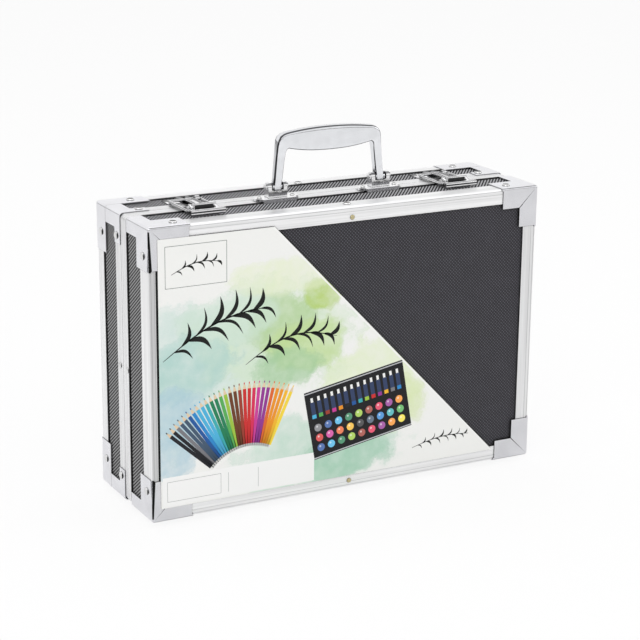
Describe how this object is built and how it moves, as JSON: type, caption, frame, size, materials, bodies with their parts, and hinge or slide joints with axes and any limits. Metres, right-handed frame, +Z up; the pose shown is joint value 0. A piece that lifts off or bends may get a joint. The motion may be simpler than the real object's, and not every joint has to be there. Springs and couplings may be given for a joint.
{
  "type": "art set case",
  "caption": "Hard case with aluminium edges, draw latches and a folding handle; it opens on bottom hinges to trays of pencils, crayons, paints and brushes.",
  "frame": {"origin": "middle of the footprint, on the plane the feet stand on", "axes": "+X along the width to the right as seen from the label, +Y from the label side to the back, +Z up towards the handle"},
  "size_m": [0.322, 0.0966, 0.2723],
  "materials": {
    "panel_texture": "embossed charcoal weave",
    "wall_texture": "diagonal hatch in grey and black",
    "edge_aluminium": "brushed along the length",
    "corner_steel": "bright satin",
    "rivet_steel": "polished dome",
    "hinge_steel": "plain zinc",
    "handle_chrome": "polished",
    "latch_chrome": "polished",
    "foot_rubber": "matte",
    "label_paper": "laminated card with a painted wash",
    "tray_plastic": "moulded, fine grain",
    "tab_leather": "plain",
    "arm_steel": "satin",
    "pencil_wood": "lacquered in many colours",
    "crayon_wax": "wax in paper sleeves of many colours",
    "tube_metal": "soft tube with a colour band",
    "cap_plastic": "ribbed",
    "pastel_stick": "chalky, many colours",
    "paint_cake": "dry paint, many colours",
    "palette_plastic": "white",
    "brush_wood": "lacquered",
    "ferrule_metal": "polished",
    "brush_hair": "fine hair",
    "plain_wood": "clear lacquer",
    "sharpener_metal": "milled",
    "eraser_rubber": "soft",
    "sponge_foam": "open pores"
  },
  "bodies": {
    "back_half": {"back_panel": "panel_texture", "back_long_walls": "wall_texture", "back_short_walls": "wall_texture", "back_long_trims": "edge_aluminium", "back_short_trims": "edge_aluminium", "back_seam_rim": "edge_aluminium", "back_corner_plates": "corner_steel", "back_feet": "foot_rubber", "back_hinge_leaves": "hinge_steel", "back_pull_tab": "tab_leather", "back_tray_arms": "arm_steel", "back_arm_pins": "arm_steel", "back_rivets": "rivet_steel", "back_lower_tray": "tray_plastic", "back_upper_tray": "tray_plastic", "back_rim_caps": "corner_steel", "catch_rivets": "rivet_steel", "latch_catches": "latch_chrome", "hinge_pins": "hinge_steel", "colour_pencils": "pencil_wood", "wax_crayons": "crayon_wax"},
    "front_half": {"front_panel": "panel_texture", "front_long_walls": "wall_texture", "front_short_walls": "wall_texture", "front_long_trims": "edge_aluminium", "front_short_trims": "edge_aluminium", "front_seam_rim": "edge_aluminium", "front_corner_plates": "corner_steel", "front_feet": "foot_rubber", "front_hinge_leaves": "hinge_steel", "front_pull_tab": "tab_leather", "front_tray_arms": "arm_steel", "front_arm_pins": "arm_steel", "front_rivets": "rivet_steel", "front_lower_tray": "tray_plastic", "front_upper_tray": "tray_plastic", "fitting_rivets": "rivet_steel", "label_card": "label_paper", "handle_brackets": "latch_chrome", "handle_pins": "latch_chrome", "latch_bases": "latch_chrome", "latch_pins": "latch_chrome", "paint_tubes": "tube_metal", "tube_caps": "cap_plastic", "oil_pastels": "pastel_stick", "watercolour_pans": "paint_cake", "mixing_palettes": "palette_plastic", "brush_handles": "brush_wood", "brush_ferrules": "ferrule_metal", "brush_tips": "brush_hair", "sketch_pencils": "plain_wood", "sharpener": "sharpener_metal", "eraser": "eraser_rubber", "sponge": "sponge_foam"},
    "handle_body": {"handle": "handle_chrome"},
    "left_lever": {"left_latch_lever": "latch_chrome"},
    "right_lever": {"right_latch_lever": "latch_chrome"},
    "left_loop": {"left_latch_loop": "latch_chrome"},
    "right_loop": {"right_latch_loop": "latch_chrome"}
  },
  "joints": [
    {"name": "case_hinge", "type": "hinge", "parent": "back_half", "child": "front_half", "pos_m": [0, 0.0025, 0.00225], "axis": [1, 0, 0], "range_deg": [0, 180]},
    {"name": "handle_fold", "type": "hinge", "parent": "front_half", "child": "handle_body", "pos_m": [0.0034, -0.003, 0.2302], "axis": [1, 0, 0], "range_deg": [-90, 90]},
    {"name": "left_lever_lift", "type": "hinge", "parent": "front_half", "child": "left_lever", "pos_m": [-0.1045, -0.0125, 0.2226], "axis": [-1, 0, 0], "range_deg": [0, 120]},
    {"name": "left_loop_swing", "type": "hinge", "parent": "left_lever", "child": "left_loop", "pos_m": [-0.1045, -0.0195, 0.2226], "axis": [-1, 0, 0], "range_deg": [-132, 0]},
    {"name": "right_lever_lift", "type": "hinge", "parent": "front_half", "child": "right_lever", "pos_m": [0.1045, -0.0125, 0.2226], "axis": [-1, 0, 0], "range_deg": [0, 120]},
    {"name": "right_loop_swing", "type": "hinge", "parent": "right_lever", "child": "right_loop", "pos_m": [0.1045, -0.0195, 0.2226], "axis": [-1, 0, 0], "range_deg": [-132, 0]}
  ],
  "couplings": [
    {"joint": "left_loop_swing", "follows": "left_lever_lift", "ratio": -1.1},
    {"joint": "right_loop_swing", "follows": "right_lever_lift", "ratio": -1.1}
  ]
}
